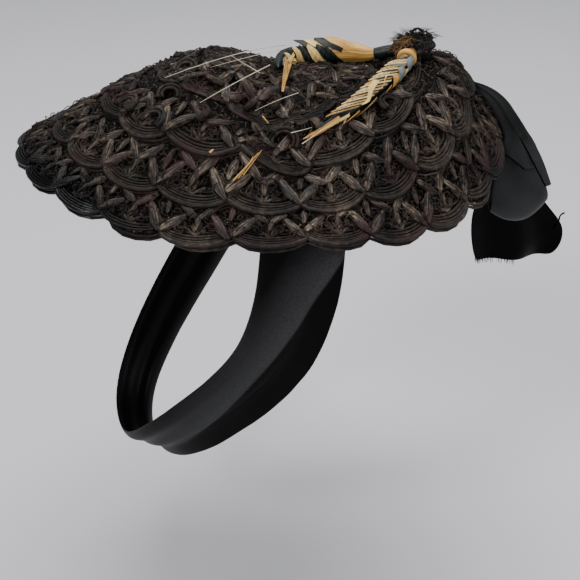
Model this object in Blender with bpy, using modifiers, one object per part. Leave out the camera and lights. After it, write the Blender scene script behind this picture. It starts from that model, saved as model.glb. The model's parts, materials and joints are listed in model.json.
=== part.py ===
"""A flat bonnet of scalloped braid, with two straw wheat ears, a ribbon bow and a chin ribbon.

Metres. +X is the wearer's left, -Y the front and +Z up. The origin is the top of the head that
the crown sits on, so the rim and the ribbons hang below it.
"""

import math

import bmesh
import bpy
from mathutils import Vector

# The bonnet's main sizes.
HALF_WIDTH = 0.084
FRONT_REACH = 0.114
REAR_REACH = 0.104
HAT_RISE = 0.071
RIM_DROP = 0.050

# Braid rows. Each row laps over the one outside it, as shingles do.
BRAID_WALL = 0.0020
SEAM_GAP = 0.0003
STEP_LIFT = 0.0017
STEP_WIDTH = 0.0020
SCALLOP_DEPTH = 0.0036
SCALLOP_FULLNESS = 0.7
TURN_STEPS = 120
RIM_CORD_RADIUS = 0.0015
RIM_CORD_INSET = 0.0030

# Ribbon.
RIBBON_WALL = 0.0011
CHIN_RIBBON_WIDTH = 0.036
CHIN_DROP = 0.152
CHIN_REACH = 0.078
PLEAT_RISE = 0.0032
BOW_RIBBON_WIDTH = 0.050
BOW_KNOT_RADIUS = 0.0048
BOW_KNOT_HALF_LENGTH = 0.0095

# Trimmings on top.
PEAK_KNOT_RADIUS = 0.0075
PEAK_KNOT_RISE = 0.0065
PEAK_KNOT_LOBES = 6
PEAK_KNOT_LOBE_DEPTH = 0.12
EAR_RADIUS = 0.0042
NEAR_EAR_SPIKELETS = 11
FAR_EAR_SPIKELETS = 12
EAR_WAIST = 0.76
EAR_START = 0.10

# The form, a section every 30 degrees of turn from the front round by the wearer's left.
# Heights are shares of HAT_RISE, 0 at the lowest rim, at the rim and at 3/4, 1/2 and 1/4 of the reach.
#           turn   rim    outer  middle inner
SECTIONS = (
    (0, 0.27, 0.50, 0.69, 0.80),
    (30, 0.21, 0.41, 0.67, 0.79),
    (60, 0.09, 0.34, 0.61, 0.72),
    (90, 0.06, 0.26, 0.50, 0.66),
    (120, 0.01, 0.34, 0.58, 0.66),
    (150, 0.10, 0.55, 0.67, 0.68),
    (180, 0.31, 0.72, 0.66, 0.68),
    (210, 0.09, 0.60, 0.65, 0.67),
    (240, 0.03, 0.39, 0.57, 0.65),
    (270, 0.06, 0.30, 0.57, 0.66),
    (300, 0.10, 0.36, 0.66, 0.74),
    (330, 0.23, 0.42, 0.68, 0.81),
)
SECTION_STEP = 30
CROWN_MIDDLE = 0.70
SLOPE_STEP = 0.0015

# The peak's place, in shares of HALF_WIDTH and REAR_REACH.
PEAK_PLACE = (0.00, 0.63)

# Humps and dents on the form. Places are shares of HALF_WIDTH and REAR_REACH, spreads are shares
# of HALF_WIDTH, and each rise is a share of HAT_RISE.
#    across along  spread rise
SWELLS = (
    (*PEAK_PLACE, 0.16, 0.03),
    (0.42, -0.38, 0.13, 0.05),
    (0.62, -0.22, 0.12, 0.05),
    (0.34, -0.20, 0.11, -0.05),
    (0.48, -0.10, 0.11, -0.06),
    (0.60, 0.03, 0.12, -0.06),
)

# Braid rows, as shares of the reach. A crown row's step is where the row above it ends.
#              scallops outer inner
RIM_ROW = (24, 1.00, 0.78)
SECOND_ROW = (20, 0.85, 0.60)
CROWN_EDGE = (15, 0.66)
UPPER_ROW = (12, 0.46)
TOP_ROW = (8, 0.27)
# A row's outer edge clears the row under it, which has itself risen by this share there.
RISEN_UNDER_LAP = (SECOND_ROW[1] - RIM_ROW[2]) / (RIM_ROW[1] - RIM_ROW[2])
LAP_LIFT = (BRAID_WALL + SEAM_GAP) / (1 - RISEN_UNDER_LAP)

# Wheat ears, from the knot to the tip. Places are shares of HALF_WIDTH and REAR_REACH.
#                across along  thickness
NEAR_EAR = (
    (0.09, 0.60, 0.70),
    (0.19, 0.52, 1.00),
    (0.30, 0.44, 1.10),
    (0.39, 0.35, 1.00),
    (0.47, 0.25, 0.90),
    (0.52, 0.14, 0.70),
    (0.55, 0.03, 0.40),
)
FAR_EAR = (
    (-0.03, 0.60, 0.70),
    (-0.11, 0.48, 1.00),
    (-0.17, 0.34, 1.15),
    (-0.20, 0.19, 1.15),
    (-0.17, 0.06, 1.05),
    (-0.04, 0.01, 0.95),
    (0.11, 0.01, 0.80),
    (0.24, 0.01, 0.45),
)

# The chin ribbon's middle line, from the wearer's left, under the chin and up. Places are shares of
# HALF_WIDTH and CHIN_REACH and, down from the rim, of CHIN_DROP. Then come shares of the ribbon's
# width and of PLEAT_RISE.
#    across along  drop   width pleat
CHIN_RIBBON = (
    (0.893, 0.00, 0.008, 1.00, 0.4),
    (0.887, -0.03, 0.173, 1.00, 0.8),
    (0.850, -0.11, 0.337, 0.97, 1.0),
    (0.765, -0.23, 0.479, 0.94, 1.0),
    (0.620, -0.45, 0.646, 0.94, 1.0),
    (0.370, -0.75, 0.850, 0.88, 0.9),
    (0.000, -0.94, 0.995, 0.72, 0.7),
    (-0.335, -0.97, 0.923, 0.72, 0.7),
    (-0.600, -0.77, 0.745, 0.82, 0.9),
    (-0.765, -0.47, 0.528, 0.90, 1.0),
    (-0.857, -0.19, 0.311, 0.96, 1.0),
    (-0.887, -0.04, 0.140, 1.00, 0.8),
    (-0.893, 0.00, 0.008, 1.00, 0.4),
)
TUCKED_REACHES = (0.66, 0.78, 0.86)

# The bow's knot lies at this turn from the front. A loop starts beside its middle, and its tip
# lies across, along and up from there. All are shares of BOW_RIBBON_WIDTH.
BOW_KNOT_TURN = 172.5
TIP_START = 0.86
TIP_ROUNDING = 0.28
ROOT_OPENING = 0.35
#                   side   across along  up     root  tip   opening
BOW_LOOPS = {
    "bow_top_loop": (-0.08, -0.06, 0.07, 0.31, 0.14, 0.22, 0.12),
    "bow_middle_loop": (0.00, 0.02, 0.17, -0.44, 0.24, 0.42, 0.09),
    "bow_round_loop": (0.13, 0.14, 0.12, -0.80, 0.22, 0.57, 0.14),
}
# The tail from under the knot: how far down, and its front and rear edges and its ripple.
BOW_TAIL_SIDE = -0.10
#     down  front  rear   ripple
BOW_TAIL = (
    (0.00, -0.05, 0.08, 0.01),
    (0.38, -0.16, 0.30, 0.03),
    (0.75, -0.24, 0.58, 0.05),
    (1.02, -0.23, 0.80, 0.06),
    (1.30, -0.15, 0.68, 0.06),
)

COLOURS = {
    "braid": ((0.022, 0.018, 0.016), 0.75),
    "cord": ((0.030, 0.025, 0.021), 0.60),
    "straw": ((0.62, 0.45, 0.22), 0.55),
    "ribbon": ((0.008, 0.009, 0.012), 0.45),
}


def smooth_between(before, start, end, after, share):
    """A smooth curve's value between start and end."""
    slope_in = (end - before) / 2
    slope_out = (after - start) / 2
    square, cube = share**2, share**3
    return (
        (2 * cube - 3 * square + 1) * start
        + (cube - 2 * square + share) * slope_in
        + (3 * square - 2 * cube) * end
        + (cube - square) * slope_out
    )


def along_rows(rows, share):
    """All columns of a table, read at a share of its length."""
    place = min(max(share, 0.0), 1.0) * (len(rows) - 1)
    first = min(int(place), len(rows) - 2)
    picks = [rows[min(max(first + step, 0), len(rows) - 1)] for step in (-1, 0, 1, 2)]
    return [smooth_between(*column, place - first) for column in zip(*picks)]


def section_heights(turn):
    """The height shares at the rim, 3/4, 1/2 and 1/4 of the reach, for a turn in degrees."""
    place = (turn % 360) / SECTION_STEP
    first = int(place)
    picks = [SECTIONS[(first + step) % len(SECTIONS)][1:] for step in (-1, 0, 1, 2)]
    return [smooth_between(*column, place - first) for column in zip(*picks)]


def form_height(x, y):
    """The height of the form, under its braid, over a place in plan."""
    length = FRONT_REACH if y < 0 else REAR_REACH
    turn = math.degrees(math.atan2(x / HALF_WIDTH, -y / length))
    reach = math.hypot(x / HALF_WIDTH, y / length)
    rim, outer, middle, inner = section_heights(turn)
    opposite = section_heights(turn + 180)[3]
    past_rim = 2 * rim - outer
    stops = (opposite, CROWN_MIDDLE, inner, middle, outer, rim, past_rim)
    place = min(reach, 1.1) * 4
    first = min(int(place), 3)
    share = smooth_between(*stops[first : first + 4], place - first)
    for across, along, spread, rise in SWELLS:
        away = math.hypot(x - across * HALF_WIDTH, y - along * REAR_REACH)
        share += rise * math.exp(-((away / (spread * HALF_WIDTH)) ** 2))
    return share * HAT_RISE - RIM_DROP


def on_form(x, y, lift):
    """The point at a lift along the form's normal."""
    step = SLOPE_STEP
    rise_x = (form_height(x + step, y) - form_height(x - step, y)) / (2 * step)
    rise_y = (form_height(x, y + step) - form_height(x, y - step)) / (2 * step)
    normal = Vector((-rise_x, -rise_y, 1)).normalized()
    return Vector((x, y, form_height(x, y))) + lift * normal


def plan_place(turn, reach):
    """x and y at a turn in radians and a share of the reach."""
    length = FRONT_REACH if math.cos(turn) > 0 else REAR_REACH
    return HALF_WIDTH * reach * math.sin(turn), -length * reach * math.cos(turn)


def scallop(turn, count, reach):
    """The share of the reach at which a row's scalloped edge lies."""
    phase = (turn * count / (2 * math.pi)) % 1
    bulge = max(math.sin(math.pi * phase), 0) ** SCALLOP_FULLNESS
    return reach - SCALLOP_DEPTH / HALF_WIDTH * (1 - bulge)


def row_lift(reach, outer, inner):
    """How far a row stands off the form: none at its inner edge, and a lap at its outer edge."""
    return LAP_LIFT * (reach - inner) / (outer - inner)


def finish_object(name, shape, colour, collection):
    """An object of a bmesh or curve, in its material and collection."""
    rgb, roughness = COLOURS[colour]
    material = bpy.data.materials.get(colour) or bpy.data.materials.new(colour)
    material.use_nodes = True
    shader = material.node_tree.nodes["Principled BSDF"]
    shader.inputs["Base Color"].default_value = (*rgb, 1)
    shader.inputs["Roughness"].default_value = roughness
    if isinstance(shape, bmesh.types.BMesh):
        data = bpy.data.meshes.new(name)
        shape.to_mesh(data)
        shape.free()
        data.shade_smooth()
    else:
        data = shape
    data.materials.append(material)
    made = bpy.data.objects.new(name, data)
    collection.objects.link(made)
    return made


def add_wall(made, thickness, offset):
    """A sheet's wall, all on its outer side at offset 1 and half on each side at 0."""
    solidify = made.modifiers.new("wall", "SOLIDIFY")
    solidify.thickness = thickness
    solidify.offset = offset


def braid_band(name, rings, collection):
    """A band round the crown. Each ring is a function of the turn that gives a reach and a lift."""
    shape = bmesh.new()
    row = [shape.verts.new((0, -1 - index, index)) for index in range(len(rings))]
    edges = [shape.edges.new(pair) for pair in zip(row, row[1:])]
    bmesh.ops.spin(
        shape,
        geom=row + edges,
        axis=(0, 0, 1),
        angle=2 * math.pi,
        steps=TURN_STEPS,
        use_merge=True,
    )
    for corner in shape.verts:
        turn = math.atan2(corner.co.x, -corner.co.y)
        reach, lift = rings[round(corner.co.z)](turn)
        corner.co = on_form(*plan_place(turn, reach), lift)
    bmesh.ops.remove_doubles(shape, verts=shape.verts, dist=1e-6)
    bmesh.ops.recalc_face_normals(shape, faces=shape.faces)
    if sum(face.normal.z for face in shape.faces) < 0:
        bmesh.ops.reverse_faces(shape, faces=shape.faces)
    made = finish_object(name, shape, "braid", collection)
    add_wall(made, BRAID_WALL, 1)
    return made


def ring_at(reach, lift):
    """A plain ring of a band."""
    return lambda turn: (reach, lift)


def scalloped_ring(edge, lift_at, out=0.0):
    """A ring on a row's scalloped edge, or a step outside it, whose lift follows its reach."""

    def ring(turn):
        reach = scallop(turn, *edge) + out
        return reach, lift_at(reach)

    return ring


def add_lapped_rows(collection):
    """The two outer braid rows. Rows that lap have their rings over each other there."""
    rim_edge, rim_inner = RIM_ROW[:2], RIM_ROW[2]
    second_edge, second_inner = SECOND_ROW[:2], SECOND_ROW[2]

    def rim_lift(reach):
        return row_lift(reach, rim_edge[1], rim_inner)

    def second_lift(reach):
        return row_lift(reach, second_edge[1], second_inner)

    rim = (
        ring_at(rim_inner, 0.0),
        scalloped_ring(second_edge, rim_lift),
        scalloped_ring(rim_edge, rim_lift),
    )
    second = (
        ring_at(second_inner, 0.0),
        scalloped_ring(CROWN_EDGE, second_lift),
        ring_at(rim_inner, second_lift(rim_inner)),
        scalloped_ring(second_edge, second_lift),
    )
    braid_band("rim_row", rim, collection)
    braid_band("second_row", second, collection)


def add_crown(collection):
    """The rows that are sewn into one crown, with a step at each row's scalloped edge."""
    outer, upper, top = CROWN_EDGE[1], UPPER_ROW[1], TOP_ROW[1]
    step = STEP_WIDTH / HALF_WIDTH
    lap = SECOND_ROW[2]

    def edge_lift(reach):
        return row_lift(reach, outer, upper)

    def step_top(reach):
        return STEP_LIFT

    def step_foot(reach):
        return 0.0

    rings = (
        ring_at(0.0, 0.0),
        ring_at(top / 2, STEP_LIFT / 2),
        scalloped_ring(TOP_ROW, step_top),
        scalloped_ring(TOP_ROW, step_foot, step),
        scalloped_ring(UPPER_ROW, step_top),
        scalloped_ring(UPPER_ROW, step_foot, step),
        ring_at(lap, edge_lift(lap)),
        scalloped_ring(CROWN_EDGE, edge_lift),
    )
    return braid_band("crown", rings, collection)


def rim_cord_place(turn):
    """The rim cord's middle line, just under the rim row's outer edge."""
    count, outer, inner = RIM_ROW
    reach = scallop(turn, count, outer) - RIM_CORD_INSET / HALF_WIDTH
    lift = row_lift(reach, outer, inner) - 1.5 * SEAM_GAP - RIM_CORD_RADIUS
    return on_form(*plan_place(turn, reach), lift)


def tube(name, points, shares, radius, sides, closed, colour, collection):
    """A round piece along points, with a share of the radius at each."""
    curve = bpy.data.curves.new(name, "CURVE")
    curve.dimensions = "3D"
    curve.bevel_depth = radius
    curve.bevel_resolution = sides // 2 - 2
    curve.use_fill_caps = not closed
    spline = curve.splines.new("POLY")
    spline.points.add(len(points) - 1)
    spline.use_cyclic_u = closed
    for target, place, share in zip(spline.points, points, shares):
        target.co = (*place, 1)
        target.radius = share
    return finish_object(name, curve, colour, collection)


def add_rim_cord(collection):
    """The edging cord, a closed ring that follows the rim's scallops."""
    turns = [2 * math.pi * index / TURN_STEPS for index in range(TURN_STEPS)]
    points = [rim_cord_place(turn) for turn in turns]
    shares = [1.0] * len(points)
    return tube("rim_cord", points, shares, RIM_CORD_RADIUS, 6, True, "cord", collection)


def on_braid(x, y, lift):
    """The point at a lift over the top of the crown's braid."""
    length = FRONT_REACH if y < 0 else REAR_REACH
    reach = math.hypot(x / HALF_WIDTH, y / length)
    top_lift = max(STEP_LIFT, row_lift(reach, CROWN_EDGE[1], UPPER_ROW[1]))
    return on_form(x, y, min(top_lift, LAP_LIFT) + BRAID_WALL + SEAM_GAP + lift)


def add_peak_knot(collection):
    """The gathered end of braid on the peak, a low dome with lobes that fits the crown."""
    shape = bmesh.new()
    bmesh.ops.create_uvsphere(shape, u_segments=24, v_segments=8, radius=1)
    across, along = PEAK_PLACE
    for corner in shape.verts:
        turn = math.atan2(corner.co.y, corner.co.x)
        lobes = 1 + PEAK_KNOT_LOBE_DEPTH * math.cos(PEAK_KNOT_LOBES * turn)
        width = max(1 - corner.co.z**2, 0) ** 0.35 * lobes * PEAK_KNOT_RADIUS
        rise = ((corner.co.z + 1) / 2) ** 1.2 * PEAK_KNOT_RISE
        x = across * HALF_WIDTH + width * math.cos(turn)
        y = along * REAR_REACH + width * math.sin(turn)
        corner.co = on_form(x, y, LAP_LIFT + BRAID_WALL + SEAM_GAP + rise)
    return finish_object("peak_knot", shape, "braid", collection)


def add_wheat_ear(name, rows, spikelets, start, collection):
    """A plaited straw ear that lies on the crown, fat at each spikelet and thin between them."""
    points, shares = [], []
    for index in range(2 * spikelets + 1):
        share = start + (1 - start) * index / (2 * spikelets)
        across, along, thickness = along_rows(rows, share)
        lift = EAR_RADIUS * max(thickness, 1)
        points.append(on_braid(across * HALF_WIDTH, along * REAR_REACH, lift))
        shares.append(thickness if index % 2 else thickness * EAR_WAIST)
    return tube(name, points, shares, EAR_RADIUS, 8, False, "straw", collection)


def ribbon_sheet(name, columns, rows, place, collection):
    """A ribbon whose point at each share of its width and length is given by place."""
    shape = bmesh.new()
    bmesh.ops.create_grid(shape, x_segments=columns, y_segments=rows, size=0.5)
    for corner in shape.verts:
        corner.co = place(corner.co.x, corner.co.y + 0.5)
    made = finish_object(name, shape, "ribbon", collection)
    add_wall(made, RIBBON_WALL, 0)
    return made


def pleats(across):
    """The height share of the lengthwise pleats at a share of the width from the middle."""
    return 0.6 * math.cos(5 * math.pi * across + 0.9) + 0.4 * math.sin(2 * math.pi * across)


def hanging_line():
    """The chin ribbon's middle line where it hangs free, below the rim."""
    rim = form_height(HALF_WIDTH, 0)
    return [
        Vector((across * HALF_WIDTH, along * CHIN_REACH, rim - drop * CHIN_DROP))
        for across, along, drop, *_ in CHIN_RIBBON
    ]


def hanging_place(line, index, across):
    """The chin ribbon's point at a row of its table and a share of its width."""
    width, pleat = CHIN_RIBBON[index][3:]
    run = (line[min(index + 1, len(line) - 1)] - line[max(index - 1, 0)]).normalized()
    outward = line[index] - (line[0] + line[-1]) / 2
    outward.z += CHIN_DROP / 3
    outward = (outward - outward.dot(run) * run).normalized()
    fold = outward * PLEAT_RISE * pleat * pleats(across)
    return line[index] + run.cross(outward) * across * CHIN_RIBBON_WIDTH * width + fold


def chin_ribbon_line(across):
    """The ribbon's points at a share of its width: tucked under the rim, in a loop, and tucked."""
    lift = -SEAM_GAP - 0.6 * RIBBON_WALL
    y = -across * CHIN_RIBBON_WIDTH
    near = [on_form(reach * HALF_WIDTH, y, lift) for reach in TUCKED_REACHES]
    far = [on_form(-reach * HALF_WIDTH, y, lift) for reach in reversed(TUCKED_REACHES)]
    line = hanging_line()
    return near + [hanging_place(line, index, across) for index in range(len(line))] + far


def chin_ribbon_place(across, along):
    return Vector(along_rows(chin_ribbon_line(across), along))


def add_chin_ribbon(collection):
    """The ribbon that goes from under one side of the rim to the other, with lengthwise pleats."""
    columns, rows = 7, 38
    return ribbon_sheet("chin_ribbon", columns, rows, chin_ribbon_place, collection)


def bow_knot_middle():
    """The bow's knot sits just below the rim's edge, on a scallop at the rear."""
    turn = math.radians(BOW_KNOT_TURN)
    x, y = plan_place(turn, RIM_ROW[1])
    edge = on_form(x, y, LAP_LIFT + BRAID_WALL / 2)
    down_slope = (on_form(x, y, 0) - on_form(x, y - STEP_WIDTH, 0)).normalized()
    return edge + down_slope * (BOW_KNOT_RADIUS + 2 * SEAM_GAP)


def beside_knot(side):
    """How far the knot reaches from its long axis, with a gap, at a place along that axis."""
    girth = math.sqrt(1 - (side / BOW_KNOT_HALF_LENGTH) ** 2)
    return BOW_KNOT_RADIUS * girth + SEAM_GAP + RIBBON_WALL / 2


def add_bow_knot(collection):
    """The ribbon's knot, long across the hat."""
    shape = bmesh.new()
    bmesh.ops.create_uvsphere(shape, u_segments=12, v_segments=8, radius=BOW_KNOT_RADIUS)
    middle = bow_knot_middle()
    for corner in shape.verts:
        corner.co.x *= BOW_KNOT_HALF_LENGTH / BOW_KNOT_RADIUS
        corner.co += middle
    return finish_object("bow_knot", shape, "ribbon", collection)


def add_bow_loop(name, row, collection):
    """A loop of ribbon that leaves the knot, turns at its rounded tip and comes back behind itself."""
    side, across, along, up, root, tip, opening = (value * BOW_RIBBON_WIDTH for value in row)
    reach = Vector((across, along, up))
    run = reach.normalized()
    open_way = (Vector((1, 0, 0)) - run.x * run).normalized()
    edge = run.cross(open_way)
    clear = beside_knot(side)
    start = bow_knot_middle() + Vector((side, 0, 0)) + run * clear
    straight = reach.length - clear - opening / 2

    def point(width_share, share):
        fold = 2 * share - 1
        if abs(fold) > 1 - TIP_START:
            out = (1 - abs(fold)) / TIP_START
            apart = math.copysign(opening / 2 * (ROOT_OPENING + (1 - ROOT_OPENING) * out), -fold)
            along_run = straight * out
        else:
            out = 1.0
            bend = fold / (1 - TIP_START) * math.pi / 2
            apart = -opening / 2 * math.sin(bend)
            along_run = straight + opening / 2 * math.cos(bend)
        gathered = root + (tip - root) * math.sin(math.pi / 2 * out)
        along_run -= TIP_ROUNDING * tip * out * (2 * width_share) ** 2
        return start + run * along_run + edge * width_share * gathered + open_way * apart

    columns, rows = 6, 12
    return ribbon_sheet(name, columns, rows, point, collection)


def add_bow_tail(collection):
    """The ribbon's end, which hangs open and rippled under the knot."""
    middle = bow_knot_middle() + Vector((BOW_TAIL_SIDE * BOW_RIBBON_WIDTH, 0, 0))
    top = beside_knot(BOW_TAIL_SIDE * BOW_RIBBON_WIDTH)

    def place(width_share, share):
        down, front, rear, ripple = (value * BOW_RIBBON_WIDTH for value in along_rows(BOW_TAIL, share))
        along = front + (rear - front) * (width_share + 0.5)
        out = ripple * math.cos(3.2 * math.pi * width_share)
        return middle + Vector((out, along, -top - down))

    columns, rows = 8, 6
    return ribbon_sheet("bow_tail", columns, rows, place, collection)


def main():
    for old in list(bpy.data.objects):
        bpy.data.objects.remove(old)
    collection = bpy.data.collections.new("bonnet")
    bpy.context.scene.collection.children.link(collection)
    add_lapped_rows(collection)
    add_crown(collection)
    add_rim_cord(collection)
    add_peak_knot(collection)
    add_wheat_ear("wheat_ear_near", NEAR_EAR, NEAR_EAR_SPIKELETS, EAR_START, collection)
    add_wheat_ear("wheat_ear_far", FAR_EAR, FAR_EAR_SPIKELETS, EAR_START, collection)
    add_bow_knot(collection)
    for name, row in BOW_LOOPS.items():
        add_bow_loop(name, row, collection)
    add_bow_tail(collection)
    add_chin_ribbon(collection)


main()
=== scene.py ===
# A flat bonnet of crushed cord braid with straw wheat ears, a ribbon bow and a chin ribbon.
import json
import math
import random

import bpy
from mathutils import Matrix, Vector
from mathutils.bvhtree import BVHTree

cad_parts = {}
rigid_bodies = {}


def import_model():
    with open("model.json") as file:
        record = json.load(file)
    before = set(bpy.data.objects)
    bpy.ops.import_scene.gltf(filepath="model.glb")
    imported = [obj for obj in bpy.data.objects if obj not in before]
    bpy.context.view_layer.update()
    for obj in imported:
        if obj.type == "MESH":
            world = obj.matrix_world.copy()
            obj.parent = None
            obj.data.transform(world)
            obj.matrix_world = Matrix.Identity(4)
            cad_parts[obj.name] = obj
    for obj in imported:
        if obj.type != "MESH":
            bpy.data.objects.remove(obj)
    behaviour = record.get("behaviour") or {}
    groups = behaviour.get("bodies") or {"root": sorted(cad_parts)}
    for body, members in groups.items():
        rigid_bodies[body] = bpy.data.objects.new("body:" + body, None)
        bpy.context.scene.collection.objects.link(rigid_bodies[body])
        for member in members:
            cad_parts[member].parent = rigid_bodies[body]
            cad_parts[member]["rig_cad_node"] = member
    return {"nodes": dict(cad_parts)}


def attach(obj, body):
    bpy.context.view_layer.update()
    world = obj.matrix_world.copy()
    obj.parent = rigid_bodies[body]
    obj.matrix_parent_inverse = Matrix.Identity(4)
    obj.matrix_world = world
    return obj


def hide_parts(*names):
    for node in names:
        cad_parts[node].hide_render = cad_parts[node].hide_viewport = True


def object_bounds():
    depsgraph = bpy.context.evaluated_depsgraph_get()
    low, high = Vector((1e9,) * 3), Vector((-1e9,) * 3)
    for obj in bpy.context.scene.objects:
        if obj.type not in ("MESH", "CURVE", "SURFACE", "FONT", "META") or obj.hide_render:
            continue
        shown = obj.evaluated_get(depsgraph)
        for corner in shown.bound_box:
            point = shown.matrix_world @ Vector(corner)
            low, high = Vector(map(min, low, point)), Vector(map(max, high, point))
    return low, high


bpy.ops.object.select_all(action="SELECT")
bpy.ops.object.delete()  # the startup cube, light and camera
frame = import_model()
cadLow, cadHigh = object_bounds()
mm = 0.001
print("frame loaded")


def only(obj):
    bpy.ops.object.select_all(action="DESELECT")
    obj.select_set(True)
    bpy.context.view_layer.objects.active = obj
    return obj


def joined(pieces, name):
    only(pieces[0])
    for piece in pieces:
        piece.select_set(True)
    if len(pieces) > 1:
        bpy.ops.object.join()
    whole = bpy.context.object
    whole.name = name
    whole.data.name = name
    return whole


def freeze(obj):  # the place goes into the mesh
    only(obj)
    bpy.ops.object.transform_apply(location=True, rotation=True, scale=True)
    return obj


def copyOf(obj):  # its own mesh, not a linked one
    only(obj)
    bpy.ops.object.duplicate()
    return bpy.context.object


def edit(select="SELECT"):
    bpy.ops.object.mode_set(mode="EDIT")
    bpy.ops.mesh.select_all(action=select)


def done():
    bpy.ops.object.mode_set(mode="OBJECT")
    return bpy.context.object


def pick(obj, test, kind="vertices"):  # selects by place or normal, and opens the mesh
    only(obj)
    edit("DESELECT")
    done()
    for part in getattr(obj.data, kind):
        part.select = test(part)
    bpy.ops.object.mode_set(mode="EDIT")


def parted(obj):  # a copy of what is selected becomes an object of its own
    bpy.ops.mesh.duplicate()
    bpy.ops.mesh.separate(type="SELECTED")
    done()
    return [found for found in bpy.context.selected_objects if found != obj][0]


def applied(obj, kind, **settings):  # a modifier, set and applied
    only(obj)
    step = obj.modifiers.new(kind, kind)
    for key, value in settings.items():
        setattr(step, key, value)
    bpy.ops.object.modifier_apply(modifier=kind)
    return obj


def dressed(obj, cloth):
    obj.data.materials.clear()
    obj.data.materials.append(cloth)
    return obj


def finished(piece, name, slot, *stands):
    piece.name = piece.data.name = name
    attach(piece, "root")
    if stands:
        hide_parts(*stands)
    return piece


def inMm(points):
    return [Vector(point) * mm for point in points]


def linear(hexColour):  # sRGB hex to a linear colour
    parts = [int(hexColour[i : i + 2], 16) / 255 for i in (1, 3, 5)]
    return [p / 12.92 if p <= 0.04045 else ((p + 0.055) / 1.055) ** 2.4 for p in parts] + [1.0]


def setInputs(tree, node, inputs):  # a socket is linked, anything else is set
    for socket, value in inputs.items():
        if isinstance(value, bpy.types.NodeSocket):
            tree.links.new(value, node.inputs[socket])
        else:
            node.inputs[socket].default_value = value


def addNode(tree, kind, inputs=None, stops=(), **settings):  # gives the node's outputs
    made = tree.nodes.new("ShaderNode" + kind)
    for key, value in settings.items():
        setattr(made, key, value)
    setInputs(tree, made, inputs or {})
    if stops:  # a colour ramp's places and hex colours, of which it has two at first
        while len(made.color_ramp.elements) < len(stops):
            made.color_ramp.elements.new(0.5)
        for element, (place, colour) in zip(made.color_ramp.elements, stops):
            element.position = place
            element.color = linear(colour)
    return made.outputs


def grainOf(size, detail=3.0, rough=0.6):  # a noise's inputs from the size of its grain
    return {"Scale": 1 / size, "Detail": detail, "Roughness": rough}


def newMaterial(name, roughness, **inputs):
    material = bpy.data.materials.new(name)
    material.use_nodes = True
    tree = material.node_tree
    shader = tree.nodes["Principled BSDF"]
    shader.inputs["Roughness"].default_value = roughness
    setInputs(tree, shader, {socket.replace("_", " "): value for socket, value in inputs.items()})
    return material, tree, shader


# Materials

cordLooks = {
    "patch": 24 * mm,  # faded patches
    "rust": 15 * mm,  # reddish ones
    "wear": 2.2 * mm,  # worn spots
    "ply": 0.5 * mm,  # twist of the cord, coarser than the real 0.3 mm so that it shows
    "stops": ((0.44, "#020202"), (0.56, "#120e0c"), (0.72, "#54473c"), (0.88, "#968a78")),
    "red": "#2c1417",
    "black": "#040304",
}
# where the front rim has kept its polish: from dull to black, along Y and down Z
polish = {"front": (-76 * mm, -92 * mm), "low": (-18 * mm, -26 * mm), "roughness": 0.2}


def threadedMaterial(name, lift, roughness, ribs, ribDepth):
    # Viscose cord and thread, once black: dull brown on the worn tops, with rusty patches,
    # fine plies that catch the light, and a front edge that has stayed black and glossy.
    material, tree, shader = newMaterial(name, roughness, Specular_IOR_Level=0.2)
    coords = addNode(tree, "TexCoord")
    place = coords["Object"]
    patch = addNode(tree, "TexNoise", {"Vector": place, **grainOf(cordLooks["patch"])})[0]
    wear = addNode(tree, "TexNoise", {"Vector": place, **grainOf(cordLooks["wear"], 3.0, 0.7)})[0]
    lengthwise = addNode(tree, "Mapping", {"Vector": coords["UV"], "Scale": ribs})[0]
    plies = addNode(tree, "TexNoise", {"Vector": lengthwise, **grainOf(1.0, 2.0, 0.5)})[0]
    drawn = addNode(tree, "MapRange", {0: plies, 1: 0.36, 2: 0.64})[0]
    shade = lift
    for spots, weight in ((patch, 0.42), (wear, 0.42), (drawn, 0.26)):
        shade = addNode(tree, "Math", {0: spots, 1: weight, 2: shade}, operation="MULTIPLY_ADD")[0]
    body = addNode(tree, "ValToRGB", {"Fac": shade}, cordLooks["stops"])[0]
    shifted = addNode(tree, "Mapping", {"Vector": place, "Location": (0.3, 0.1, 0.2)})[0]
    rust = addNode(tree, "TexNoise", {"Vector": shifted, **grainOf(cordLooks["rust"], 2.0)})[0]
    redness = addNode(tree, "MapRange", {0: rust, 1: 0.52, 2: 0.66, 4: 0.7})[0]
    sockets = {"Factor": redness, "A": body, "B": linear(cordLooks["red"])}
    faded = addNode(tree, "Mix", sockets, data_type="RGBA")["Result"]
    black = 1.0
    along = addNode(tree, "SeparateXYZ", {"Vector": place})
    for spot, (dull, bright) in ((along["Y"], polish["front"]), (along["Z"], polish["low"])):
        share = addNode(tree, "MapRange", {0: spot, 1: dull, 2: bright})[0]
        black = addNode(tree, "Math", {0: share, 1: black}, operation="MULTIPLY")[0]
    sockets = {"Factor": black, "A": faded, "B": linear(cordLooks["black"])}
    colour = addNode(tree, "Mix", sockets, data_type="RGBA")["Result"]
    gloss = addNode(tree, "MapRange", {0: black, 3: roughness, 4: polish["roughness"]})[0]
    ribbed = addNode(tree, "Bump", {"Height": plies, "Strength": 1.0, "Distance": ribDepth})[0]
    fine = addNode(tree, "TexNoise", {"Vector": place, **grainOf(cordLooks["ply"], 2.0)})[0]
    sockets = {"Height": fine, "Strength": 0.7, "Distance": 0.2 * mm, "Normal": ribbed}
    bump = addNode(tree, "Bump", sockets)[0]
    setInputs(tree, shader, {"Base Color": colour, "Roughness": gloss, "Normal": bump})
    return material


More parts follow.
